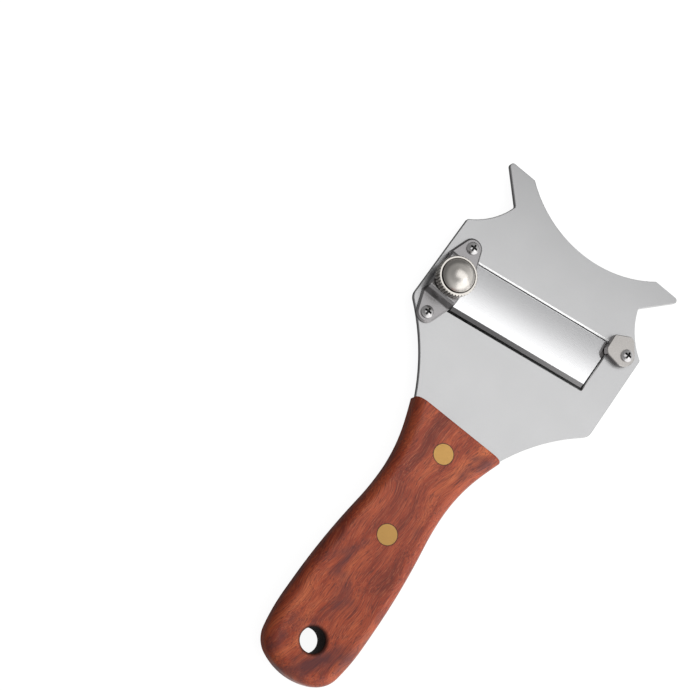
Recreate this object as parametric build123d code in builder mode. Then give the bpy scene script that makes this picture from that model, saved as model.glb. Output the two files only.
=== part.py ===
from build123d import *
import math
import os

os.makedirs("parts", exist_ok=True)

# Truffle slicer, lying flat with its knob up. +Y points to the horns, +X to the keeper's side.
# The origin is under the middle of the object, at the level of the handle's underside.
# All lengths are in millimetres and all angles in degrees.

# Overall
head_length = 108.7  # from the handle's front end to the tops of the horns
handle_length = 124.3
handle_thickness = 14.0
plate_thickness = 2.5
plate_width = 96.8
cut_overrun = 1.0  # how far a cutting shape runs past the face it cuts

front_y = (handle_length - head_length) / 2  # where the wood ends and the steel comes out
plate_z = (handle_thickness - plate_thickness) / 2
plate_top = plate_z + plate_thickness

# Clearances
glue_gap = 0.08  # round the tang in its slot
rivet_gap = 0.05  # round the rivets in wood and steel
thread_gap = 0.03  # round a screw in its tapped hole
screw_clearance = 0.15  # round a screw or bolt in a plain hole
bolt_running_gap = 0.05  # round the bolt in the knob's bore
pivot_gap = 0.1  # round the trunnions in their grooves
seat_gap = 0.1  # between the bolt's head, the blade's tongue, the spring and the bridge
turning_gap = 0.05  # under the knob
blade_side_gap = 0.15  # between the blade's right end and the window

# Plate outline, measured from the handle's front end
neck_width = 44.8
skirt_height = 33.8  # where the slanted lower edge meets the plate's side
skirt_hollow = 2.4  # how far the lower edge bows inwards
skirt_corner_radius = 4.5
shoulder_drop = 18.1  # the shoulders below the notches
shoulder_radius = 1.0
notch_depth = 13.6  # of the notches under the horns, from the plate's sides
notch_radius = 1.0
notch_hollow = 2.0  # how far the edge from shoulder to notch bows inwards
horn_height = 15.2  # from the notches to the horns' tops
horn_overhang = 0.7  # of the horns' points past the plate's sides, before they are rounded
horn_width = 14.5  # of a horn's top
horn_tip_radius = 1.5
horn_inner_radius = 0.5
bay_depth = 12.3  # of the round hollow between the horns
edge_break = 0.3
tang_width = 20.0
tang_length = 78.0
tang_end_radius = 4.0
tang_root_radius = 1.5

# Window for the blade. Its long sides slope by the window angle; heights are on the middle line.
window_angle = 8.85
window_front = 42.7
window_rear = 68.2
window_right_wall = 14.2  # what is left of the plate beside the window
window_left_wall = 13.8
window_corner_radius = 0.4
window_edge_break = 0.4
tongue_bay_wall = 3.2  # what is left of the plate beside the tongue's bay, under the bridge

# Bridge over the blade's left end
bridge_inset = 8.9  # its middle inwards from the plate's side
bridge_setback = 0.75  # its middle in front of the window's middle
bridge_width = 14.3
bridge_sheet = 1.5
bridge_edge = 0.8  # bevel round its upper side
bridge_rise = 5.7  # the hump's top over the plate
bridge_foot_span = 20.6  # between the bends where the hump leaves its lugs
bridge_top_span = 16.8  # between the bends of the hump's top
bridge_bend_radius = 1.3
bridge_corner_radius = 2.0  # where its sides turn in towards the lugs
screw_span = 34.6
lug_end_radius = 4.5

# Screws
screw_dia = 3.0
screw_head_dia = 5.4
screw_head_side = 0.7
screw_head_height = 1.8
screw_point_reach = 0.3  # below the plate
recess_length = 3.0
recess_width = 0.8
recess_depth = 1.1

# Keeper over the blade's right pivot, a cap round four arcs
keeper_thickness = 3.3
keeper_screw_inset = 7.1  # its screw inwards from the plate's side
keeper_screw_setback = 2.63  # its screw in front of the line of the window's rear wall
keeper_screw_end = (-1.2, -0.5, 5.0)  # x and y from the screw, and radius, of each arc
keeper_outer_end = (-2.4, 5.4, 2.6)
keeper_horn_end = (-8.5, 4.0, 0.8)
keeper_front_end = (-6.0, -1.7, 3.1)
keeper_edge_break = 0.3

# Blade
blade_thickness = 1.0
blade_drop = 0.2  # its top face under the pivot's axis
bevel_width = 1.7
edge_land = 0.06  # what the bevel leaves of the thickness
pivot_dia = 1.8
pivot_setback = 1.2  # the pivot's axis in front of the window's rear wall
rear_reach = 0.95  # the blade's rear edge behind the axis
slit_width = 0.75  # between the cutting edge and the window at rest
rest_slice = 0.4  # the cutting edge over the plate at rest
blade_left_gap = 2.8  # between the cutting edge's left end and the window
blade_rear_gap = 0.4  # between the rear edge's left end and the window
blade_front_gap = 0.95  # how much more the right end is cut back at the cutting edge
pivot_left_reach = 2.6  # of the left trunnion past the window
pivot_right_reach = 4.4
pivot_embed = 1.2
tongue_gap = 0.8  # between the tongue's end and its bay
tongue_side_gap = 1.1
tongue_length = 13.8
tongue_corner_radius = 1.0
neck_side_gap = 0.3  # round the bolt's square neck in the tongue's slot
neck_end_gap = 0.9

# Adjuster
bolt_dia = 4.0
bolt_neck = 4.0  # square neck
bolt_head_dia = 7.6
bolt_head_round = 5.0  # radius of the head's rounded seat
bolt_head_rim = 0.5
bolt_neck_height = 1.6
bolt_end_chamfer = 0.4
bolt_end_room = 1.8  # between the bolt's end and the knob's bore end at rest
spring_wire = 0.6
spring_mean_dia = 6.8
spring_turns = 2.25
washer_dia = 9.0
washer_thickness = 0.8
knob_dia = 17.2
knob_rim_height = 5.4
knob_rim_chamfer = 0.5
knurl_count = 40
knurl_depth = 0.5
knob_groove_width = 0.5
knob_groove_depth = 1.0
dome_dia = 14.0
dome_skirt = 0.5
dome_height = 4.8  # over the rim's top
dome_wall = 2.2  # over the bore's end

# Handle outline
handle_front_overhang = 0.65  # of the wood's front corners past the plate's neck
handle_waist = 31.2
handle_butt = 38.9
handle_heel_radius = 12.0  # at the two corners of the butt
handle_edge_radius = 4.8
handle_front_edge_radius = 0.8
hole_setback = 17.1  # from the handle's butt
hole_dia = 10.4
hole_lip = 1.9

# Rivets, in two halves each
front_rivet_back = 13.7  # from the handle's front end
rear_rivet_setback = 23.1  # from the tang's end
rivet_head_dia = 8.6
rivet_head_height = 3.0
rivet_barrel_dia = 6.0
rivet_pin_dia = 4.0
rivet_barrel_wall_end = 1.0  # the barrel stops this far under the other head
rivet_pin_room = 1.0  # between the pin's end and the barrel's bore end

# The window's directions: along its long sides and square to them
slope = math.tan(math.radians(window_angle))
cos_w = math.cos(math.radians(window_angle))
sin_w = math.sin(math.radians(window_angle))

# Where the window, the bridge and the keeper lie in the plate
plate_half = plate_width / 2
window_right = plate_half - window_right_wall
window_left = plate_half - window_left_wall
bridge_x = bridge_inset - plate_half
bridge_height_y = (window_front + window_rear) / 2 + slope * bridge_x - bridge_setback
keeper_screw_x = plate_half - keeper_screw_inset
keeper_screw_y = window_rear + slope * keeper_screw_x - keeper_screw_setback

# The pivot's axis crosses the middle line here
pivot_y = front_y + window_rear - pivot_setback / cos_w
pivot_depth = pivot_dia / 2 + pivot_gap
pivot_z = plate_top - pivot_depth

# The blade's tilt at rest, from the slit's width and the slice's height
edge_run = (window_rear - window_front) * cos_w - pivot_setback - slit_width
edge_rise = pivot_depth + rest_slice
blade_under = blade_drop + blade_thickness
blade_length = math.sqrt(edge_run**2 + edge_rise**2 - blade_under**2)
rest_tilt = math.atan2(edge_rise, edge_run) + math.asin(blade_under / math.hypot(edge_run, edge_rise))
cos_t = math.cos(rest_tilt)
sin_t = math.sin(rest_tilt)

# The bolt's place and its distance in front of the pivot's axis
bolt_x = bridge_x
bolt_y = front_y + bridge_height_y
bolt_run = (pivot_y - bolt_y) * cos_w + bolt_x * sin_w
bridge_top = plate_top + bridge_rise
bridge_under = bridge_top - bridge_sheet


def window_wall(height, x):
    """Y of one of the window's long sides at a given x."""
    return front_y + height + slope * x


def on_blade(x, y):
    """A point seen from above, in the tilted plane of the blade."""
    along = x * cos_w + (y - pivot_y) * sin_w
    across = ((y - pivot_y) * cos_w - x * sin_w) / cos_t
    return (along, across)


def arc_through(start, end, hollow):
    """Middle point of an arc from start to end that bows to its left by the hollow."""
    chord = Vector(*end) - Vector(*start)
    left = Vector(-chord.Y, chord.X).normalized()
    return (Vector(*start) + Vector(*end)) / 2 + left * hollow


# Body plate with its tang

tongue_bay_reach = plate_half - tongue_bay_wall
rivet_back = (front_rivet_back, tang_length - rear_rivet_setback)
head_y = front_y + head_length
neck = (neck_width / 2, front_y)
skirt = (plate_half, front_y + skirt_height)
shoulder = (plate_half, head_y - horn_height - shoulder_drop)
notch = (plate_half - notch_depth, head_y - horn_height)
horn_tip = (plate_half + horn_overhang, head_y)
horn_inner = (plate_half + horn_overhang - horn_width, head_y)
bay_floor = (0, head_y - bay_depth)
bay_other = (-horn_inner[0], head_y)

with BuildPart() as body_plate:
    with BuildSketch(Plane.XY.offset(plate_z)) as plate_outline:
        with BuildLine() as plate_half:
            Line((0, front_y - tang_length), (tang_width / 2, front_y - tang_length))
            Line((tang_width / 2, front_y - tang_length), (tang_width / 2, front_y))
            Line((tang_width / 2, front_y), neck)
            ThreePointArc(neck, arc_through(neck, skirt, skirt_hollow), skirt)
            Line(skirt, shoulder)
            ThreePointArc(shoulder, arc_through(shoulder, notch, notch_hollow), notch)
            Line(notch, horn_tip)
            Line(horn_tip, horn_inner)
            mirror(about=Plane.YZ)
            ThreePointArc(horn_inner, bay_floor, bay_other)
        make_face()
        tips = plate_outline.vertices().group_by(Axis.Y)[-1].sort_by(Axis.X)
        fillet([tips[0], tips[-1]], horn_tip_radius)
        inners = plate_outline.vertices().group_by(Axis.Y)[-1].sort_by(Axis.X)
        fillet([inners[1], inners[-2]], horn_inner_radius)
        fillet(plate_outline.vertices().group_by(Axis.Y)[4], notch_radius)
        fillet(plate_outline.vertices().group_by(Axis.Y)[3], shoulder_radius)
        fillet(plate_outline.vertices().group_by(Axis.Y)[2], skirt_corner_radius)
        roots = plate_outline.vertices().group_by(Axis.Y)[1].sort_by(Axis.X)
        fillet([roots[1], roots[-2]], tang_root_radius)
        fillet(plate_outline.vertices().group_by(Axis.Y)[0], tang_end_radius)
    extrude(amount=plate_thickness)
    chamfer(body_plate.faces().sort_by(Axis.Z)[-1].edges(), edge_break)
    chamfer(body_plate.faces().sort_by(Axis.Z)[0].edges(), edge_break)

    # Window, with the bay for the blade's tongue under the bridge
    with BuildSketch(Plane.XY.offset(plate_z)) as window:
        with BuildLine():
            Polyline(
                (window_right, window_wall(window_front, window_right)),
                (window_right, window_wall(window_rear, window_right)),
                (-window_left, window_wall(window_rear, -window_left)),
                (-window_left, window_wall(window_front, -window_left)),
                close=True,
            )
        make_face()
        fillet(window.vertices(), window_corner_radius)
        bay_end = -window_left + window_corner_radius
        with Locations(((bay_end - tongue_bay_reach) / 2, bolt_y)):
            Rectangle(bay_end + tongue_bay_reach, tongue_length + 2 * tongue_side_gap)
    extrude(amount=plate_thickness, mode=Mode.SUBTRACT)
    chamfer(body_plate.faces().sort_by(Axis.Z)[-1].inner_wires()[0].edges(), window_edge_break)

    # Grooves for the blade's trunnions, round at the bottom and open upwards
    pivot_left_end = window_left + pivot_left_reach
    pivot_right_end = window_right + pivot_right_reach
    pivot_left = on_blade(-pivot_left_end, pivot_y - slope * pivot_left_end)[0]
    pivot_right = on_blade(pivot_right_end, pivot_y + slope * pivot_right_end)[0]
    pivot_plane = Plane(
        origin=(0, pivot_y, pivot_z), x_dir=(-sin_w, cos_w, 0), z_dir=(cos_w, sin_w, 0)
    )
    groove_starts = (
        (pivot_left - pivot_gap, -window_left),
        (window_right - pivot_embed, pivot_right + pivot_gap),
    )
    for groove_start, groove_end in groove_starts:
        with BuildSketch(pivot_plane.offset(groove_start)):
            Circle(pivot_depth)
            with Locations((0, -(pivot_depth + cut_overrun) / 2)):
                Rectangle(2 * pivot_depth, pivot_depth + cut_overrun)
        extrude(amount=groove_end - groove_start, mode=Mode.SUBTRACT)

    # Holes for the screws and the rivets
    with Locations(
        (bridge_x, bolt_y - screw_span / 2, plate_top),
        (bridge_x, bolt_y + screw_span / 2, plate_top),
        (keeper_screw_x, front_y + keeper_screw_y, plate_top),
    ):
        Hole(screw_dia / 2 + thread_gap)
    with Locations([(0, front_y - back, plate_top) for back in rivet_back]):
        Hole(rivet_barrel_dia / 2 + rivet_gap)
body_plate.part.label = "body_plate"
export_step(body_plate.part, "parts/body_plate.step")

# Handle, one piece of wood sawn open at its front for the tang

front_half = neck_width / 2 + handle_front_overhang
waist_half = handle_waist / 2
butt_half = handle_butt / 2

# Each point: share of the handle's length, share of the way from one half width to the next
flare_share = (0.088, 0.474)
waist_share = 0.27
swell_share = 0.724
widest_share = 0.78
heel_share = (0.952, 0.861)
swing_share = 0.27  # where the waist's hollow turns into the swell, on the line between them
front_corner = Vector(front_half, front_y)
flare = Vector(
    waist_half + flare_share[1] * (front_half - waist_half), front_y - flare_share[0] * handle_length
)
waist = Vector(waist_half, front_y - waist_share * handle_length)
swell = Vector(butt_half, front_y - swell_share * handle_length)
swing = waist + (swell - waist) * swing_share
widest = Vector(butt_half, front_y - widest_share * handle_length)
heel = Vector(heel_share[1] * butt_half, front_y - heel_share[0] * handle_length)

with BuildPart() as handle:
    with BuildSketch(Plane.XY) as handle_outline:
        with BuildLine() as handle_half:
            Line((0, front_y), front_corner)
            flare_arc = TangentArc(waist, flare, tangent=(0, 1))
            TangentArc(flare, front_corner, tangent=flare_arc % 1)
            TangentArc(waist, swing, tangent=(0, -1))
            TangentArc(swell, swing, tangent=(0, 1))
            Line(swell, widest)
            TangentArc(widest, heel, tangent=(0, -1))
            mirror(about=Plane.YZ)
            ThreePointArc(heel, (0, front_y - handle_length), (-heel.X, heel.Y))
        make_face()
        fillet(handle_outline.vertices().group_by(Axis.Y)[0], handle_heel_radius)
    extrude(amount=handle_thickness)
    level_edges = (
        handle.faces().sort_by(Axis.Z)[0].edges() + handle.faces().sort_by(Axis.Z)[-1].edges()
    )
    front_edges = level_edges.group_by(Axis.Y)[-1]
    fillet(level_edges - front_edges, handle_edge_radius)
    fillet(handle.faces().sort_by(Axis.Y)[-1].edges(), handle_front_edge_radius)

    # Hanging hole with a rounded lip on both faces
    with Locations((0, front_y - handle_length + hole_setback, handle_thickness)):
        Hole(hole_dia / 2)
    lip_edges = (
        handle.faces().sort_by(Axis.Z)[0].inner_wires().edges()
        + handle.faces().sort_by(Axis.Z)[-1].inner_wires().edges()
    )
    fillet(lip_edges, hole_lip)

    # Slot for the tang
    slot_length = tang_length + glue_gap
    slot_run = slot_length + cut_overrun
    with BuildSketch(Plane.XY.offset(plate_z - glue_gap)):
        with Locations((0, front_y - slot_length + slot_run / 2)):
            Rectangle(tang_width + 2 * (tang_root_radius + glue_gap), slot_run)
    extrude(amount=plate_thickness + 2 * glue_gap, mode=Mode.SUBTRACT)

    # Stepped holes for the rivets
    with Locations([(0, front_y - back, handle_thickness) for back in rivet_back]):
        CounterBoreHole(
            rivet_barrel_dia / 2 + rivet_gap, rivet_head_dia / 2 + rivet_gap, rivet_head_height
        )
    with BuildSketch(Plane.XY):
        with Locations([(0, front_y - back) for back in rivet_back]):
            Circle(rivet_head_dia / 2 + rivet_gap)
    extrude(amount=rivet_head_height, mode=Mode.SUBTRACT)
handle.part.label = "handle"
export_step(handle.part, "parts/handle.step")

# Handle rivets: a barrel from below and a screw from above, both with flush heads

barrel_top = handle_thickness - rivet_head_height - rivet_barrel_wall_end
barrel_bore = rivet_pin_dia / 2 + rivet_gap
pin_end = rivet_head_height + rivet_pin_room

for rivet_name, back in zip(("front", "rear"), rivet_back):
    with BuildPart() as rivet_barrel:
        with BuildSketch(Plane((0, front_y - back, 0))):
            Circle(rivet_head_dia / 2)
        extrude(amount=rivet_head_height)
        with BuildSketch(Plane((0, front_y - back, rivet_head_height))):
            Circle(rivet_barrel_dia / 2)
            Circle(barrel_bore, mode=Mode.SUBTRACT)
        extrude(amount=barrel_top - rivet_head_height)
    rivet_barrel.part.label = rivet_name + "_rivet_barrel"
    export_step(rivet_barrel.part, "parts/" + rivet_name + "_rivet_barrel.step")

    with BuildPart() as rivet_screw:
        with BuildSketch(Plane((0, front_y - back, handle_thickness - rivet_head_height))):
            Circle(rivet_head_dia / 2)
        extrude(amount=rivet_head_height)
        with BuildSketch(Plane((0, front_y - back, pin_end))):
            Circle(rivet_pin_dia / 2)
        extrude(amount=handle_thickness - rivet_head_height - pin_end)
    rivet_screw.part.label = rivet_name + "_rivet_screw"
    export_step(rivet_screw.part, "parts/" + rivet_name + "_rivet_screw.step")

# Blade, drawn in its tilted plane: its rear edge is at the pivot, its cutting edge to the front

blade_plane = Plane(
    origin=(0, pivot_y, pivot_z),
    x_dir=(cos_w, sin_w, 0),
    z_dir=(-sin_w * sin_t, cos_w * sin_t, cos_t),
)
tongue_rear = bolt_y + tongue_length / 2
tongue_front = bolt_y - tongue_length / 2
tongue_reach = tongue_bay_reach - tongue_gap
rear_right = window_right - blade_side_gap
rear_left = blade_rear_gap - window_left
rear_left_along = on_blade(rear_left, pivot_y + slope * rear_left)[0]
rear_right_along = on_blade(rear_right, pivot_y + slope * rear_right)[0]
front_left = blade_left_gap - window_left
front_right = rear_right - blade_front_gap
# Where the cutting edge lies for those two x, along the blade
edge_left_along = (front_left - blade_length * cos_t * sin_w) / cos_w
edge_right_along = (front_right - blade_length * cos_t * sin_w) / cos_w

with BuildPart() as blade:
    with BuildSketch(blade_plane.offset(-blade_under)) as blade_outline:
        with BuildLine():
            Polyline(
                (rear_right_along, rear_reach),
                (rear_left_along, rear_reach),
                on_blade(rear_left, tongue_rear),
                on_blade(-tongue_reach, tongue_rear),
                on_blade(-tongue_reach, tongue_front),
                on_blade(front_left, tongue_front),
                (edge_left_along, -blade_length),
                (edge_right_along, -blade_length),
                close=True,
            )
        make_face()
        tongue_corners = blade_outline.vertices().sort_by(Axis.X)[0:2]
        fillet(tongue_corners, tongue_corner_radius)
        # Slot for the bolt's square neck, longer than wide to let the blade tilt
        slot_place = on_blade(bolt_x, bolt_y)
        with Locations(slot_place):
            Rectangle(
                bolt_neck + 2 * neck_side_gap, bolt_neck + 2 * neck_end_gap, mode=Mode.SUBTRACT
            )
    extrude(amount=blade_thickness)

    # Ground bevel along the cutting edge
    with BuildSketch(Plane(
        origin=blade_plane.from_local_coords((0, -blade_length, -blade_under)),
        x_dir=blade_plane.y_dir,
        z_dir=-blade_plane.x_dir,
    )) as bevel:
        with BuildLine():
            Polyline(
                (0, -edge_land),
                (bevel_width, -blade_thickness),
                (bevel_width, -blade_thickness - cut_overrun),
                (-cut_overrun, -blade_thickness - cut_overrun),
                (-cut_overrun, -edge_land),
                close=True,
            )
        make_face()
    extrude(amount=plate_width, both=True, mode=Mode.SUBTRACT)

    # Round trunnions at the two ends of the rear edge
    trunnions = (
        (pivot_left, rear_left_along + pivot_embed),
        (rear_right_along - pivot_embed, pivot_right),
    )
    for pin_start, pin_stop in trunnions:
        with BuildSketch(pivot_plane.offset(pin_start)):
            Circle(pivot_dia / 2)
        extrude(amount=pin_stop - pin_start)
blade.part.label = "blade"
export_step(blade.part, "parts/blade.step")

# Bridge: a strip bent up over the blade's tongue, with a lug at each end

foot_half = bridge_foot_span / 2
top_half = bridge_top_span / 2
lug_half = screw_span / 2 + lug_end_radius

with BuildPart() as bridge:
    with BuildSketch(Plane((bridge_x, bolt_y, plate_top), x_dir=(0, 1, 0), z_dir=(1, 0, 0))) as strip:
        with BuildLine():
            FilletPolyline(
                (-lug_half, bridge_sheet / 2),
                (-foot_half, bridge_sheet / 2),
                (-top_half, bridge_rise - bridge_sheet / 2),
                (top_half, bridge_rise - bridge_sheet / 2),
                (foot_half, bridge_sheet / 2),
                (lug_half, bridge_sheet / 2),
                radius=bridge_bend_radius,
            )
        trace(line_width=bridge_sheet)
    extrude(amount=bridge_width / 2, both=True)
    with BuildSketch(Plane((bridge_x, bolt_y, plate_top))) as bridge_outline:
        Rectangle(bridge_width, bridge_foot_span)
        with Locations((0, -screw_span / 2), (0, screw_span / 2)):
            Circle(lug_end_radius)
        make_hull()
        columns = bridge_outline.vertices().group_by(Axis.X)
        fillet(columns[0] + columns[-1], bridge_corner_radius)
    extrude(amount=bridge_rise + cut_overrun, mode=Mode.INTERSECT)

    # Bevel round the whole upper side
    upper_skin = bridge.faces().filter_by(lambda face: face.normal_at().Z > sin_w)
    side_walls = bridge.faces().filter_by(lambda face: abs(face.normal_at().Z) < sin_w)
    chamfer(upper_skin.edges() & side_walls.edges(), bridge_edge)
    with Locations(
        (bridge_x, bolt_y - screw_span / 2, bridge_top),
        (bridge_x, bolt_y + screw_span / 2, bridge_top),
    ):
        Hole(screw_dia / 2 + screw_clearance)
    with Locations((bridge_x, bolt_y, bridge_top)):
        Hole(bolt_dia / 2 + 2 * screw_clearance)
bridge.part.label = "bridge"
export_step(bridge.part, "parts/bridge.step")

# Keeper: a thick rounded cap over the right trunnion's groove

with BuildPart() as keeper:
    with BuildSketch(Plane((keeper_screw_x, front_y + keeper_screw_y, plate_top))):
        for arc_x, arc_y, arc_radius in (
            keeper_screw_end, keeper_outer_end, keeper_horn_end, keeper_front_end
        ):
            with Locations((arc_x, arc_y)):
                Circle(arc_radius)
        make_hull()
    extrude(amount=keeper_thickness)
    chamfer(keeper.faces().sort_by(Axis.Z)[-1].edges(), keeper_edge_break)
    with Locations((keeper_screw_x, front_y + keeper_screw_y, plate_top + keeper_thickness)):
        Hole(screw_dia / 2 + screw_clearance)
keeper.part.label = "keeper"
export_step(keeper.part, "parts/keeper.step")


def pan_screw(grip):
    """Cross-head pan screw standing on its point's side of the plane z = 0, for a given grip."""
    head_half = screw_head_dia / 2
    with BuildPart() as screw:
        with BuildSketch(Plane.XZ):
            with BuildLine():
                Polyline(
                    (0, screw_head_height),
                    (0, -grip),
                    (screw_dia / 2, -grip),
                    (screw_dia / 2, 0),
                    (head_half, 0),
                    (head_half, screw_head_side),
                )
                TangentArc((0, screw_head_height), (head_half, screw_head_side), tangent=(1, 0))
            make_face()
        revolve(axis=Axis.Z)
        with BuildSketch(Plane.XY.offset(screw_head_height)):
            Rectangle(recess_length, recess_width)
            Rectangle(recess_width, recess_length)
        extrude(amount=-recess_depth, mode=Mode.SUBTRACT)
    return screw.part


# Screws, threaded into the plate

bridge_screw = pan_screw(bridge_sheet + plate_thickness + screw_point_reach)
keeper_long_screw = pan_screw(keeper_thickness + plate_thickness + screw_point_reach)

with BuildPart() as bridge_screws:
    with Locations(
        (bridge_x, bolt_y - screw_span / 2, plate_top + bridge_sheet),
        (bridge_x, bolt_y + screw_span / 2, plate_top + bridge_sheet),
    ):
        add(bridge_screw)
bridge_screws.part.label = "bridge_screws"
export_step(bridge_screws.part, "parts/bridge_screws.step")

with BuildPart() as keeper_screw:
    with Locations((keeper_screw_x, front_y + keeper_screw_y, plate_top + keeper_thickness)):
        add(keeper_long_screw)
keeper_screw.part.label = "keeper_screw"
export_step(keeper_screw.part, "parts/keeper_screw.step")

# Adjuster bolt: its rounded head lifts the blade's tongue from below

head_round_z = (
    pivot_z + (bolt_run * sin_t - blade_under - bolt_head_round) / cos_t - seat_gap
)
bolt_head_top = head_round_z + bolt_head_round
head_half = bolt_head_dia / 2
head_shoulder_z = head_round_z + math.sqrt(bolt_head_round**2 - head_half**2)
knob_z = bridge_top + washer_thickness + turning_gap
rim_top = knob_z + knob_rim_height
bore_end = rim_top + dome_height - dome_wall
bolt_end = bore_end - bolt_end_room

with BuildPart() as adjuster_bolt:
    with BuildSketch(Plane((bolt_x, bolt_y, 0), x_dir=(1, 0, 0), z_dir=(0, -1, 0))):
        with BuildLine():
            Polyline(
                (0, bolt_head_top),
                (0, head_shoulder_z - bolt_head_rim),
                (head_half, head_shoulder_z - bolt_head_rim),
                (head_half, head_shoulder_z),
            )
            TangentArc((0, bolt_head_top), (head_half, head_shoulder_z), tangent=(1, 0))
        make_face()
    revolve(axis=Axis((bolt_x, bolt_y, 0), (0, 0, 1)))
    with BuildSketch(Plane((bolt_x, bolt_y, head_shoulder_z))):
        Rectangle(bolt_neck, bolt_neck, rotation=window_angle)
    extrude(amount=bolt_head_top + bolt_neck_height - head_shoulder_z)
    with BuildSketch(Plane((bolt_x, bolt_y, head_shoulder_z))):
        Circle(bolt_dia / 2)
    extrude(amount=bolt_end - head_shoulder_z)
    chamfer(adjuster_bolt.faces().sort_by(Axis.Z)[-1].edges(), bolt_end_chamfer)
adjuster_bolt.part.label = "adjuster_bolt"
export_step(adjuster_bolt.part, "parts/adjuster_bolt.step")

# Adjuster spring: one open coil between the blade's tongue and the bridge

spring_radius = spring_mean_dia / 2
wire_half = spring_wire / 2
tongue_high_run = bolt_run + spring_radius + wire_half
tongue_high = pivot_z + tongue_high_run * sin_t / cos_t - blade_drop / cos_t
spring_foot = tongue_high + seat_gap + wire_half
spring_head = bridge_under - seat_gap - wire_half
spring_rise = (spring_head - spring_foot) / spring_turns
quarter_turns = round(4 * spring_turns)


def coil_point(turns):
    """Point on the coil's centre line after a number of turns."""
    angle = 2 * math.pi * turns
    return Vector(
        bolt_x + spring_radius * math.cos(angle),
        bolt_y + spring_radius * math.sin(angle),
        spring_foot + spring_rise * turns,
    )


def coil_direction(turns):
    """Unit direction of the coil's centre line after a number of turns."""
    angle = 2 * math.pi * turns
    climb = spring_rise / (2 * math.pi * spring_radius)
    return Vector(-math.sin(angle), math.cos(angle), climb).normalized()


def coil_joint(turns_a, turns_b):
    """Point where the two arcs of the stretch between two points of the coil meet."""
    point_a = coil_point(turns_a)
    point_b = coil_point(turns_b)
    way_a = coil_direction(turns_a)
    way_b = coil_direction(turns_b)
    chord = point_b - point_a
    spread = 2 * (1 - way_a.dot(way_b))
    along = chord.dot(way_a + way_b)
    reach = (math.sqrt(along**2 + spread * chord.dot(chord)) - along) / spread
    return (point_a + point_b + (way_a - way_b) * reach) / 2


def arc_middle(tangent_end, other_end, way):
    """Middle point of the arc that leaves one end in a given direction and passes the other."""
    chord = other_end - tangent_end
    opening = math.radians(way.get_angle(chord))
    step = chord.length / 2 / math.cos(opening / 2)
    return tangent_end + (way + chord.normalized()).normalized() * step


with BuildPart() as adjuster_spring:
    with BuildLine() as coil_line:
        for quarter in range(quarter_turns):
            turns_a = spring_turns * quarter / quarter_turns
            turns_b = spring_turns * (quarter + 1) / quarter_turns
            start = coil_point(turns_a)
            joint = coil_joint(turns_a, turns_b)
            end = coil_point(turns_b)
            ThreePointArc(start, arc_middle(start, joint, coil_direction(turns_a)), joint)
            ThreePointArc(joint, arc_middle(end, joint, -coil_direction(turns_b)), end)
    with BuildSketch(Plane(origin=coil_point(0), z_dir=coil_direction(0))):
        Circle(wire_half)
    sweep()
adjuster_spring.part.label = "adjuster_spring"
export_step(adjuster_spring.part, "parts/adjuster_spring.step")

# Least gap between two turns of the spring, measured on points of its centre line
steps_per_turn = 72
coil_steps = int(spring_turns * steps_per_turn)
coil_points = [coil_point(step / steps_per_turn) for step in range(coil_steps + 1)]
least_gap = min(
    (coil_points[a] - coil_points[b]).length - spring_wire
    for a in range(len(coil_points))
    for b in range(a + steps_per_turn // 2, len(coil_points))
)
print("spring: least gap between its turns", round(least_gap, 3), "mm")

# Washer under the knob

with BuildPart() as knob_washer:
    with BuildSketch(Plane((bolt_x, bolt_y, bridge_top))):
        Circle(washer_dia / 2)
        Circle(bolt_dia / 2 + screw_clearance, mode=Mode.SUBTRACT)
    extrude(amount=washer_thickness)
knob_washer.part.label = "knob_washer"
export_step(knob_washer.part, "parts/knob_washer.step")

# Knob: a domed nut with a knurled rim

knob_half = knob_dia / 2
dome_half = dome_dia / 2
dome_foot = rim_top + dome_skirt
bore_half = bolt_dia / 2 + bolt_running_gap

with BuildPart() as knob:
    with BuildSketch(Plane((bolt_x, bolt_y, 0), x_dir=(1, 0, 0), z_dir=(0, -1, 0))):
        with BuildLine():
            Polyline(
                (0, rim_top + dome_height),
                (0, bore_end),
                (bore_half, bore_end),
                (bore_half, knob_z),
                (knob_half - knob_rim_chamfer, knob_z),
                (knob_half, knob_z + knob_rim_chamfer),
                (knob_half, rim_top - knob_rim_chamfer),
                (knob_half - knob_rim_chamfer, rim_top),
                (dome_half + knob_groove_width, rim_top),
                (dome_half + knob_groove_width, rim_top - knob_groove_depth),
                (dome_half, rim_top - knob_groove_depth),
                (dome_half, dome_foot),
            )
            TangentArc((0, rim_top + dome_height), (dome_half, dome_foot), tangent=(1, 0))
        make_face()
    revolve(axis=Axis((bolt_x, bolt_y, 0), (0, 0, 1)))
    with BuildSketch(Plane((bolt_x, bolt_y, knob_z))):
        with PolarLocations(knob_half, knurl_count):
            Rectangle(knurl_depth * math.sqrt(2), knurl_depth * math.sqrt(2), rotation=45)
    extrude(amount=knob_rim_height, mode=Mode.SUBTRACT)
knob.part.label = "knob"
export_step(knob.part, "parts/knob.step")
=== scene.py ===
import math

import bpy
from mathutils import Matrix, Quaternion, Vector


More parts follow.
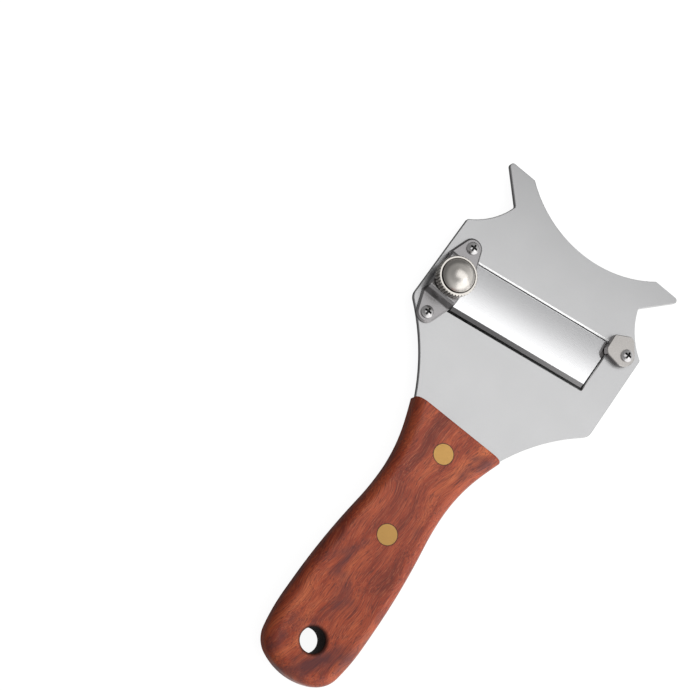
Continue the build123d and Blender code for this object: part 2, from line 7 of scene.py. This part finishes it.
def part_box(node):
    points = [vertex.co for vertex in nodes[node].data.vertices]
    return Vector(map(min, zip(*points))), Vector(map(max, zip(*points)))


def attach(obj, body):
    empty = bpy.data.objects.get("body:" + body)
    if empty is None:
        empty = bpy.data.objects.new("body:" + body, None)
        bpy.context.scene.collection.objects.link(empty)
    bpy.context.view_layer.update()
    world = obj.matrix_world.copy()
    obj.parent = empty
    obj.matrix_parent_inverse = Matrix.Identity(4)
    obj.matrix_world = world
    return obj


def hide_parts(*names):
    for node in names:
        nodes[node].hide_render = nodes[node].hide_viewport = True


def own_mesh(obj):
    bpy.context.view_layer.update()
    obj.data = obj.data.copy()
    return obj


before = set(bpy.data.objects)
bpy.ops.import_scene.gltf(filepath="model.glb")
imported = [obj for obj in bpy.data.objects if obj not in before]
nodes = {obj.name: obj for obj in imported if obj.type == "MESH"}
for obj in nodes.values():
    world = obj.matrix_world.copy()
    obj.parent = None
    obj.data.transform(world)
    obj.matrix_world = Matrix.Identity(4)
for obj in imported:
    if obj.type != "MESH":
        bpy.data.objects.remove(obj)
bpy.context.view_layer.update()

# Looks of the truffle slicer. Metres throughout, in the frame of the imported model.

# Sizes repeated from the part's source
blade_pivot = Vector((0.0, 0.0747855, 0.00725))
window_angle = math.radians(8.85)
rest_tilt = math.radians(6.400)
blade_length = 0.0232576
bevel_width = 0.0017
pivot_setback = 0.0012  # from the window's rear wall to the blade's pivot
window_depth = 0.0252  # between the window's long walls
window_half = 0.0343  # half the window's length
window_middle = 0.0097  # the window's middle, measured along to_keeper
screw_places = ((-0.0395, 0.03905, 0.01155), (-0.0395, 0.07365, 0.01155))
keeper_screw_place = (0.0413, 0.0798, 0.01335)
knob_place = (-0.0395, 0.0563500)
hole_place = (0.0, -0.0994)
hole_radius = 0.0052
rivet_places = ((0.0, -0.0059), (0.0, -0.0471))
rivet_radius = 0.0043
spring_radius = 0.0034
spring_wire_radius = 0.0003
spring_turns = 2.25

# Places where the materials paint shade or a highlight
upright_limit = 0.4  # a face whose normal has less z than this counts as upright
highlight_strip_reach = 0.0006  # how far the painted highlight strip reaches from the window's rear wall
highlight_strip_foot = 0.0075  # where the painted highlight strip starts, measured upwards
recess_half_width = 0.00045  # of each arm of a screw's cross recess
recess_reach = 0.00155
groove_radius = 0.00715  # of the groove between the knob's dome and its rim
groove_half_width = 0.00016
rib_reach = 0.0082  # below the rim's top, what is nearer to the knob's axis lies between its ribs
rim_top = 0.0197
fade_start = 0.0001  # outside the hanging hole's edge, and a rivet's, where its shade fades
hole_fade_end = 0.0016
seam_fade_end = 0.0005

# Directions
cos_w, sin_w = math.cos(window_angle), math.sin(window_angle)
cos_t, sin_t = math.cos(rest_tilt), math.sin(rest_tilt)
upwards = (0.0, 0.0, 1.0)
rightwards = (1.0, 0.0, 0.0)
to_horns = (-sin_w, cos_w, 0.0)
to_keeper = (cos_w, sin_w, 0.0)
wall_at = Vector(to_horns).dot(blade_pivot) + pivot_setback  # the window's rear wall

white = (1.0, 1.0, 1.0)


def grey(level):
    return (level, level, level)


def add(tree, kind, links=None, values=None, **settings):
    """One shader node with its settings, its socket values and its incoming links."""
    made = tree.nodes.new(kind)
    for key, value in settings.items():
        setattr(made, key, value)
    for key, value in (values or {}).items():
        made.inputs[key].default_value = value
    for key, source in (links or {}).items():
        tree.links.new(source, made.inputs[key])
    return made


def math_node(tree, operation, first, second=None):
    """A math node over two sockets or numbers."""
    made = add(tree, "ShaderNodeMath", operation=operation)
    for socket, value in zip(made.inputs, (first, second)):
        if isinstance(value, (float, int)):
            socket.default_value = value
        elif value is not None:
            tree.links.new(value, socket)
    return made.outputs["Value"]


def vector_math(tree, operation, first, second, output="Vector"):
    """A vector math node over a socket and a fixed vector."""
    return add(
        tree, "ShaderNodeVectorMath", operation=operation, links={0: first}, values={1: second}
    ).outputs[output]


def start(name):
    """A material with its own coordinates, and its principled shader."""
    material = bpy.data.materials.new(name)
    material.use_nodes = True
    tree = material.node_tree
    place = add(tree, "ShaderNodeTexCoord").outputs["Object"]
    return material, tree, place, tree.nodes["Principled BSDF"]


def noise(tree, place, cells, detail=2.0, roughness=0.5, shift=(0, 0, 0)):
    """Noise with so many cells to the metre along x, y and z."""
    mapped = add(
        tree,
        "ShaderNodeMapping",
        links={"Vector": place},
        values={"Scale": cells, "Location": shift},
    )
    return add(
        tree,
        "ShaderNodeTexNoise",
        links={"Vector": mapped.outputs["Vector"]},
        values={"Scale": 1.0, "Detail": detail, "Roughness": roughness},
    ).outputs["Fac"]


def ramp(tree, value, stops):
    """A colour ramp over a value, from (place, colour) stops."""
    made = add(tree, "ShaderNodeValToRGB", links={"Fac": value})
    elements = made.color_ramp.elements
    while len(elements) < len(stops):
        elements.new(0.5)
    for element, (where, colour) in zip(elements, stops):
        element.position = where
        element.color = (*colour, 1.0)
    return made.outputs["Color"]


def spread(tree, value, low, high, start_at=0.3, end_at=0.7):
    """A value mapped onto a low and a high, by default from the middle of a noise."""
    return add(
        tree,
        "ShaderNodeMapRange",
        links={"Value": value},
        values={"From Min": start_at, "From Max": end_at, "To Min": low, "To Max": high},
    ).outputs["Result"]


def mixed(tree, factor, first, second, blend="MIX"):
    """Two colours mixed by a factor; each may be a socket or a plain value."""
    made = tree.nodes.new("ShaderNodeMix")
    made.data_type = "RGBA"
    made.blend_type = blend
    sockets = made.inputs[0], made.inputs[6], made.inputs[7]
    for socket, value in zip(sockets, (factor, first, second)):
        if isinstance(value, (float, int)):
            socket.default_value = value
        elif isinstance(value, tuple):
            socket.default_value = (*value, 1.0)
        else:
            tree.links.new(value, socket)
    return made.outputs[2]


def layer(tree, under, mask, colour, most, start_at, end_at):
    """A colour laid over another where a mask is high, up to a greatest cover."""
    return mixed(tree, spread(tree, mask, 0.0, most, start_at, end_at), under, colour)


def bump(tree, shader, height, depth, strength):
    """Fine relief from a height, so deep."""
    made = add(
        tree,
        "ShaderNodeBump",
        links={"Height": height},
        values={"Strength": strength, "Distance": depth},
    )
    tree.links.new(made.outputs["Normal"], shader.inputs["Normal"])


def along(tree, place, direction):
    """How far a place lies along a direction."""
    return vector_math(tree, "DOT_PRODUCT", place, direction, "Value")


def off(tree, place, direction, level):
    """How far a place is from the plane at a level along a direction."""
    ahead = math_node(tree, "SUBTRACT", along(tree, place, direction), level)
    return math_node(tree, "ABSOLUTE", ahead)


def away_from(tree, place, middle):
    """How far a place lies from an upright axis."""
    offset = vector_math(tree, "SUBTRACT", place, (*middle, 0.0))
    flat = vector_math(tree, "MULTIPLY", offset, (1.0, 1.0, 0.0))
    return add(
        tree, "ShaderNodeVectorMath", operation="LENGTH", links={0: flat}
    ).outputs["Value"]


def round_shade(tree, place, middle, radius, fade_end):
    """1 inside a round hole or rivet, fading to 0 just outside its edge."""
    distance = away_from(tree, place, middle)
    return spread(tree, distance, 1.0, 0.0, radius + fade_start, radius + fade_end)


def upright(tree):
    """1 on faces that stand nearly upright, such as a sheet's cut edge."""
    normal = add(tree, "ShaderNodeTexCoord").outputs["Normal"]
    slant = math_node(tree, "ABSOLUTE", along(tree, normal, upwards))
    return math_node(tree, "LESS_THAN", slant, upright_limit)


def crossed(tree, place, middle):
    """1 inside the cross recess of a screw whose top is at the given place."""
    offset = vector_math(tree, "SUBTRACT", place, middle)
    parts = add(tree, "ShaderNodeSeparateXYZ", links={"Vector": offset}).outputs
    sides = [math_node(tree, "ABSOLUTE", parts[axis]) for axis in ("X", "Y")]
    nearer, farther = (math_node(tree, pick, *sides) for pick in ("MINIMUM", "MAXIMUM"))
    narrow = math_node(tree, "LESS_THAN", nearer, recess_half_width)
    short = math_node(tree, "LESS_THAN", farther, recess_reach)
    return math_node(tree, "MULTIPLY", narrow, short)


def over(tree, shader, mask, colour):
    """Lays a colour over the shader's own where the mask is 1."""
    under = shader.inputs["Base Color"].links[0].from_socket
    tree.links.new(mixed(tree, mask, under, colour), shader.inputs["Base Color"])


def roughen(tree, shader, mask, roughness):
    """Another roughness where the mask is 1."""
    under = shader.inputs["Roughness"].links[0].from_socket
    made = add(
        tree,
        "ShaderNodeMix",
        links={0: mask, 2: under},
        values={3: roughness},
        data_type="FLOAT",
    )
    tree.links.new(made.outputs[0], shader.inputs["Roughness"])


def metal(name, colour, roughness, cells, tone=0.04, rough_spread=0.04, depth=0.000001):
    """A metal with a fine grain along its cells and slow changes of tone."""
    grain_cover, relief = 0.35, 0.4
    material, tree, place, shader = start(name)
    shader.inputs["Metallic"].default_value = 1.0
    fine = noise(tree, place, cells, detail=4.0, roughness=0.65)
    slow = noise(tree, place, (60, 60, 60), detail=3.0, shift=(3.1, 1.7, 0.4))
    dark = tuple(c * (1 - tone) for c in colour)
    light = tuple(min(1.0, c * (1 + tone)) for c in colour)
    toned = mixed(tree, spread(tree, slow, 0.0, 1.0), dark, light)
    grain = mixed(tree, spread(tree, fine, 0.0, grain_cover), toned, dark)
    tree.links.new(grain, shader.inputs["Base Color"])
    rough = spread(tree, fine, roughness - rough_spread, roughness + rough_spread)
    tree.links.new(rough, shader.inputs["Roughness"])
    bump(tree, shader, fine, depth, relief)
    return material, tree, place, shader


# Plate, with a painted highlight on the window's rear wall: a pale matt strip there, which catches
# the light
steel, tree, place, shader = metal(
    "satin_steel",
    colour=(0.445, 0.445, 0.447),
    roughness=0.35,
    cells=(2200, 900, 2200),
    tone=0.02,
    rough_spread=0.02,
)
near_wall = math_node(tree, "LESS_THAN", off(tree, place, to_horns, wall_at), highlight_strip_reach)
off_middle = off(tree, place, to_keeper, window_middle)
beside = math_node(tree, "LESS_THAN", off_middle, window_half)
high = math_node(tree, "GREATER_THAN", along(tree, place, upwards), highlight_strip_foot)
painted_highlight = math_node(tree, "MULTIPLY", math_node(tree, "MULTIPLY", near_wall, beside), high)
# painted highlight: the strip is made white, matt and not metal
over(tree, shader, painted_highlight, grey(0.95))
roughen(tree, shader, painted_highlight, 0.6)
tree.links.new(math_node(tree, "SUBTRACT", 1.0, painted_highlight), shader.inputs["Metallic"])

# Bridge and keeper, with painted shade on their upright cut edges
bracket, tree, _, shader = metal(
    "bracket_steel",
    colour=(0.28, 0.272, 0.275),
    roughness=0.30,
    cells=(1500, 3000, 1500),
    tone=0.03,
)
# painted shade on the bridge's upright faces
over(tree, shader, upright(tree), (0.13, 0.125, 0.125))
keeper_metal, tree, _, shader = metal(
    "keeper_steel",
    colour=(0.37, 0.355, 0.34),
    roughness=0.30,
    cells=(1800, 2600, 1800),
    tone=0.06,
)
# painted shade on the keeper's upright faces
over(tree, shader, upright(tree), (0.14, 0.13, 0.13))

# Screws, with painted shade in their cross recesses
screw_metal, tree, place, shader = metal(
    "screw_steel",
    colour=(0.5, 0.49, 0.49),
    roughness=0.24,
    cells=(2500, 2500, 2500),
    tone=0.05,
)
recess_shade = crossed(tree, place, keeper_screw_place)
for middle in screw_places:
    recess_shade = math_node(tree, "MAXIMUM", recess_shade, crossed(tree, place, middle))
over(tree, shader, recess_shade, grey(0.03))

# Knob and its washer, with painted shade in the groove and between the ribs
nickel, tree, place, shader = metal(
    "warm_nickel",
    colour=(0.62, 0.592, 0.553),
    roughness=0.31,
    cells=(1800, 1800, 1800),
    tone=0.03,
)
from_axis = away_from(tree, place, knob_place)
groove_shade = math_node(tree, "COMPARE", from_axis, groove_radius)
groove_shade.node.inputs[2].default_value = groove_half_width
inside = math_node(tree, "LESS_THAN", from_axis, rib_reach)
below_rim = math_node(tree, "LESS_THAN", along(tree, place, upwards), rim_top)
valley_shade = math_node(tree, "MULTIPLY", inside, below_rim)
over(tree, shader, math_node(tree, "MAXIMUM", groove_shade, valley_shade), (0.10, 0.094, 0.088))

bolt_metal = metal(
    "zinc_plate", colour=(0.6, 0.6, 0.59), roughness=0.28, cells=(2500, 2500, 2500), tone=0.08
)[0]
spring_metal = metal(
    "spring_steel", colour=(0.5, 0.5, 0.51), roughness=0.25, cells=(3000, 3000, 3000), tone=0.08
)[0]

# Blade: polished, with the ground bevel along its cutting edge darkened by a painted dark
# reflection
blade_metal, tree, place, shader = metal(
    "polished_steel",
    colour=(0.85, 0.85, 0.855),
    roughness=0.14,
    cells=(300, 3500, 3500),
    tone=0.005,
    rough_spread=0.003,
    depth=0.0,
)
blade_normal = Vector((-sin_w * sin_t, cos_w * sin_t, cos_t))
blade_across = blade_normal.cross(Vector(to_keeper))
bevel_start = blade_across.dot(blade_pivot) - blade_length + bevel_width
bevel_reflection = math_node(tree, "LESS_THAN", along(tree, place, blade_across), bevel_start)
over(tree, shader, bevel_reflection, (0.24, 0.235, 0.235))

# Brass rivets with fine scratches
brass = metal(
    "brass",
    colour=(0.43, 0.250, 0.083),
    roughness=0.36,
    cells=(900, 2600, 900),
    tone=0.09,
    rough_spread=0.06,
)[0]

# Hardwood: a figure that sways and swirls along the handle, with light and dark fibres, thin dark
# lines, dark clouds and pores
wood, tree, place, shader = start("hardwood")
drift = add(
    tree,
    "ShaderNodeTexNoise",
    links={"Vector": place},
    values={"Scale": 27.0, "Detail": 1.6, "Roughness": 0.4},
).outputs["Color"]
centred = vector_math(tree, "SUBTRACT", drift, grey(0.5))
bent = add(
    tree,
    "ShaderNodeVectorMath",
    operation="MULTIPLY_ADD",
    links={0: centred, 2: place},
    values={1: (0.030, 0.02, 0.02)},
).outputs["Vector"]
figure = noise(tree, bent, (110, 20, 90), detail=3.0, roughness=0.55, shift=(2.3, 0.6, 0.0))
streak = noise(tree, bent, (2100, 100, 1800), detail=4.0, roughness=0.65)
fibre = noise(tree, bent, (2700, 140, 2400), detail=3.0, roughness=0.65, shift=(1.7, 4.4, 0.9))
line = noise(tree, bent, (420, 20, 340), detail=2.0, roughness=0.5, shift=(7.7, 3.1, 0.0))
cloud = noise(tree, bent, (60, 34, 50), detail=3.0, roughness=0.55, shift=(5.2, 1.1, 0.0))
pore = noise(tree, bent, (3600, 420, 3200), detail=2.0, roughness=0.6)

tone = ramp(
    tree,
    figure,
    (
        (0.30, (0.160, 0.020, 0.008)),
        (0.45, (0.290, 0.043, 0.015)),
        (0.58, (0.395, 0.073, 0.025)),
        (0.72, (0.500, 0.118, 0.040)),
    ),
)
lit = layer(tree, tone, fibre, (0.60, 0.190, 0.088), most=0.38, start_at=0.50, end_at=0.68)
streaked = layer(tree, lit, streak, (0.11, 0.020, 0.013), most=0.55, start_at=0.46, end_at=0.66)

line_spacing, line_width, line_cover = 0.06, 0.014, 0.75  # the first two in steps of the noise
ridge = math_node(tree, "PINGPONG", line, line_spacing)
on_line = spread(tree, ridge, line_cover, 0.0, 0.0, line_width)
lined = mixed(tree, on_line, streaked, (0.085, 0.018, 0.014))
clouded = layer(tree, lined, cloud, (0.070, 0.020, 0.024), most=0.80, start_at=0.52, end_at=0.66)
pored = layer(tree, clouded, pore, (0.04, 0.010, 0.008), most=0.6, start_at=0.60, end_at=0.72)
tree.links.new(pored, shader.inputs["Base Color"])
tree.links.new(spread(tree, streak, 0.34, 0.44), shader.inputs["Roughness"])

# Painted shade inside the hanging hole, and thin painted shade in the seams round the rivets
hole_shade = round_shade(tree, place, hole_place, hole_radius, hole_fade_end)
over(tree, shader, hole_shade, (0.012, 0.004, 0.003))
roughen(tree, shader, hole_shade, 0.9)
for middle in rivet_places:
    seam_shade = round_shade(tree, place, middle, rivet_radius, seam_fade_end)
    over(tree, shader, seam_shade, (0.05, 0.015, 0.010))
shader.inputs["Specular IOR Level"].default_value = 0.3
bump(tree, shader, pore, depth=0.00003, strength=0.35)

for name, material in (
    ("body_plate", steel),
    ("handle", wood),
    ("front_rivet_barrel", brass),
    ("front_rivet_screw", brass),
    ("rear_rivet_barrel", brass),
    ("rear_rivet_screw", brass),
    ("blade", blade_metal),
    ("bridge", bracket),
    ("bridge_screws", screw_metal),
    ("keeper", keeper_metal),
    ("keeper_screw", screw_metal),
    ("adjuster_bolt", bolt_metal),
    ("knob_washer", nickel),
    ("knob", nickel),
):
    for material_slot in nodes[name].material_slots:
        material_slot.material = material


def coil(name, middle, radius, wire_radius, foot, head, turns, material):
    """An open coil of round wire about an upright axis, as a closed mesh with flat ends."""
    steps_per_turn = 48
    ring = 14  # corners round the wire
    steps = round(turns * steps_per_turn)
    climb = (head - foot) / (turns * 2 * math.pi * radius)
    points = []
    for step in range(steps + 1):
        angle = 2 * math.pi * turns * step / steps
        outward = Vector((math.cos(angle), math.sin(angle), 0.0))
        forward = Vector((-math.sin(angle), math.cos(angle), climb)).normalized()
        upward = outward.cross(forward)
        centre = Vector((*middle, foot + (head - foot) * step / steps)) + outward * radius
        for corner in range(ring):
            turn = 2 * math.pi * corner / ring
            spoke = outward * math.cos(turn) + upward * math.sin(turn)
            points.append(centre + spoke * wire_radius)
    faces = []
    for step in range(steps):
        for corner in range(ring):
            here, beside = step * ring + corner, step * ring + (corner + 1) % ring
            faces.append((here, here + ring, beside + ring, beside))
    smooth = [True] * len(faces) + [False, False]
    faces.append(tuple(range(ring)))
    faces.append(tuple(reversed(range(steps * ring, (steps + 1) * ring))))
    mesh = bpy.data.meshes.new(name)
    mesh.from_pydata(points, [], faces)
    mesh.polygons.foreach_set("use_smooth", smooth)
    mesh.materials.append(material)
    made = bpy.data.objects.new(name, mesh)
    bpy.context.scene.collection.objects.link(made)
    return made


# Spring: the same coil as in the imported model, made anew as its own mesh on the frame, in place
# of the imported one
spring_low, spring_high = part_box("adjuster_spring")
spring_coil = coil(
    "spring_coil",
    knob_place,
    spring_radius,
    spring_wire_radius,
    spring_low[2] + spring_wire_radius,
    spring_high[2] - spring_wire_radius,
    spring_turns,
    spring_metal,
)
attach(spring_coil, "frame")
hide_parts("adjuster_spring")
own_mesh(spring_coil)

# Floor: pale, white to the camera and in reflections, with the object's shadow kept. In reflections
# it is dark left of the handle's axis. Under the window it has no glow and only shows the light
# that reaches it, a painted shadow.
floor_half = 3.0
floor_z = -0.0003
floor_white = 0.93
flag_level = 0.06  # of the floor's white, left of the handle's axis
flag_edge = 0.012
floor_corners = ((-1, -1), (1, -1), (1, 1), (-1, 1))
floor_mesh = bpy.data.meshes.new("floor")
floor_mesh.from_pydata(
    [(x * floor_half, y * floor_half, floor_z) for x, y in floor_corners], [], [(0, 1, 2, 3)]
)
floor = bpy.data.objects.new("floor", floor_mesh)
bpy.context.scene.collection.objects.link(floor)


def seen(tree):
    """1 for rays from the camera and for reflected and transmitted rays."""
    rays = tree.nodes.new("ShaderNodeLightPath").outputs
    bounced = math_node(tree, "MAXIMUM", rays["Is Glossy Ray"], rays["Is Transmission Ray"])
    return math_node(tree, "MAXIMUM", rays["Is Camera Ray"], bounced)


floor_look = bpy.data.materials.new("floor")
floor_look.use_nodes = True
tree = floor_look.node_tree
tree.nodes.remove(tree.nodes["Principled BSDF"])
matt = add(tree, "ShaderNodeBsdfDiffuse", values={"Color": (*grey(0.14), 1.0)})
place = add(tree, "ShaderNodeTexCoord").outputs["Object"]
across_window = off(tree, place, to_horns, wall_at - window_depth / 2)
along_window = off(tree, place, to_keeper, window_middle)
# painted shadow: no glow in a fixed patch under the window
clear = math_node(
    tree,
    "MAXIMUM",
    spread(tree, across_window, 0.0, 1.0, start_at=0.017, end_at=0.021),
    spread(tree, along_window, 0.0, 1.0, start_at=0.0355, end_at=0.040),
)
flagged = spread(tree, along(tree, place, rightwards), flag_level, 1.0, -flag_edge, flag_edge)
to_eye = tree.nodes.new("ShaderNodeLightPath").outputs["Is Camera Ray"]
shown = math_node(tree, "MULTIPLY", clear, math_node(tree, "MAXIMUM", flagged, to_eye))
seen_level = math_node(tree, "MULTIPLY", seen(tree), floor_white)
glow_level = math_node(tree, "MULTIPLY", seen_level, shown)
glow = add(tree, "ShaderNodeEmission", links={"Strength": glow_level})
both = add(
    tree, "ShaderNodeAddShader", links={0: matt.outputs["BSDF"], 1: glow.outputs["Emission"]}
)
tree.links.new(both.outputs["Shader"], tree.nodes["Material Output"].inputs["Surface"])
floor_mesh.materials.append(floor_look)

# World: a soft light that comes more from the right, and white for the camera. Metal sees a greyer
# ceiling, and a dimmer left side that is dimmest near the floor.
left_light = 0.17
left_mirrored = 0.50
left_foot = 0.25
light_level = 0.85
world = bpy.data.worlds.new("studio")
bpy.context.scene.world = world
world.use_nodes = True
tree = world.node_tree
tree.nodes.clear()
direction = add(tree, "ShaderNodeTexCoord").outputs["Generated"]
height = add(tree, "ShaderNodeSeparateXYZ", links={"Vector": direction}).outputs["Z"]
ceiling_grey = (0.45, 0.45, 0.455)
ceiling = ramp(
    tree, height, ((0.0, white), (0.3, grey(0.9)), (0.8, ceiling_grey), (1.0, ceiling_grey))
)
bright_side = (0.9, -0.15, 0.35)
to_right = spread(
    tree, along(tree, direction, bright_side), 0.0, 1.0, start_at=-0.7, end_at=0.6
)
shade = ramp(tree, to_right, ((0.0, grey(left_light)), (1.0, white)))
mirrored = ramp(tree, to_right, ((0.0, grey(left_mirrored)), (1.0, white)))
above_floor = spread(tree, height, left_foot, 1.0, start_at=0.05, end_at=0.35)
skirting = math_node(tree, "MAXIMUM", above_floor, to_right)
room = mixed(tree, 1.0, ceiling, mirrored, "MULTIPLY")
surround = mixed(tree, 1.0, room, skirting, "MULTIPLY")
from_camera = tree.nodes.new("ShaderNodeLightPath").outputs["Is Camera Ray"]
backdrop = mixed(tree, from_camera, surround, white)
shown = add(tree, "ShaderNodeBackground", links={"Color": backdrop}, values={"Strength": 1.0})
lighting = add(
    tree, "ShaderNodeBackground", links={"Color": shade}, values={"Strength": light_level}
)
either = add(
    tree,
    "ShaderNodeMixShader",
    links={0: seen(tree), 1: lighting.outputs["Background"], 2: shown.outputs["Background"]},
)
add(tree, "ShaderNodeOutputWorld", links={"Surface": either.outputs["Shader"]})


def softbox(name, place, target, width, length, radiance, turn=0.0):
    """An area lamp aimed at a target and turned about its axis, with a given radiance."""
    lamp = bpy.data.lights.new(name, "AREA")
    lamp.shape = "RECTANGLE"
    lamp.size = width
    lamp.size_y = length
    lamp.energy = radiance * math.pi * width * length
    made = bpy.data.objects.new(name, lamp)
    bpy.context.scene.collection.objects.link(made)
    made.location = place
    made.rotation_mode = "QUATERNION"
    aim = (Vector(target) - Vector(place)).to_track_quat("-Z", "Y")
    made.rotation_quaternion = aim @ Quaternion(upwards, turn)
    made.visible_camera = False
    return made


softbox(
    "softbox_top",
    place=(0.08, 0.129, 0.30),
    target=(0.08, 0.129, 0.0),
    width=0.46,
    length=0.25,
    radiance=1.12,
    turn=window_angle,
)
softbox(
    "softbox_low",
    place=(0.24, 0.03, 0.30),
    target=(0.24, 0.03, 0.0),
    width=0.26,
    length=0.22,
    radiance=0.5,
)

# From the right, one lamp that only lights surfaces, and a dimmer one that is only mirrored in them
softbox(
    "softbox_right",
    place=(0.60, -0.08, 0.28),
    target=(0.0, 0.0, 0.01),
    width=0.56,
    length=0.40,
    radiance=3.5,
).visible_glossy = False
softbox(
    "card_right",
    place=(0.42, -0.12, 0.28),
    target=(-0.04, 0.06, 0.02),
    width=0.75,
    length=0.55,
    radiance=1.0,
).visible_diffuse = False

# Camera, fitted to the photograph
camera_place = (-0.18187, -0.24062, 0.80348)
camera_right = Vector((0.7710, 0.5660, 0.2920)).normalized()
camera_back = Vector((-0.1443, -0.2912, 0.9457)).normalized()
camera_up = camera_back.cross(camera_right).normalized()
camera_axes = Matrix((camera_up.cross(camera_back), camera_up, camera_back)).transposed()
camera = bpy.data.objects.new("camera", bpy.data.cameras.new("camera"))
bpy.context.scene.collection.objects.link(camera)
camera.matrix_world = Matrix.Translation(camera_place) @ camera_axes.to_4x4()
camera.data.sensor_fit = "HORIZONTAL"
camera.data.sensor_width = 36.0
camera.data.lens = 108.957
camera.data.clip_start = 0.01
camera.data.clip_end = 20.0
bpy.context.scene.camera = camera

bpy.context.scene.view_settings.view_transform = "Standard"
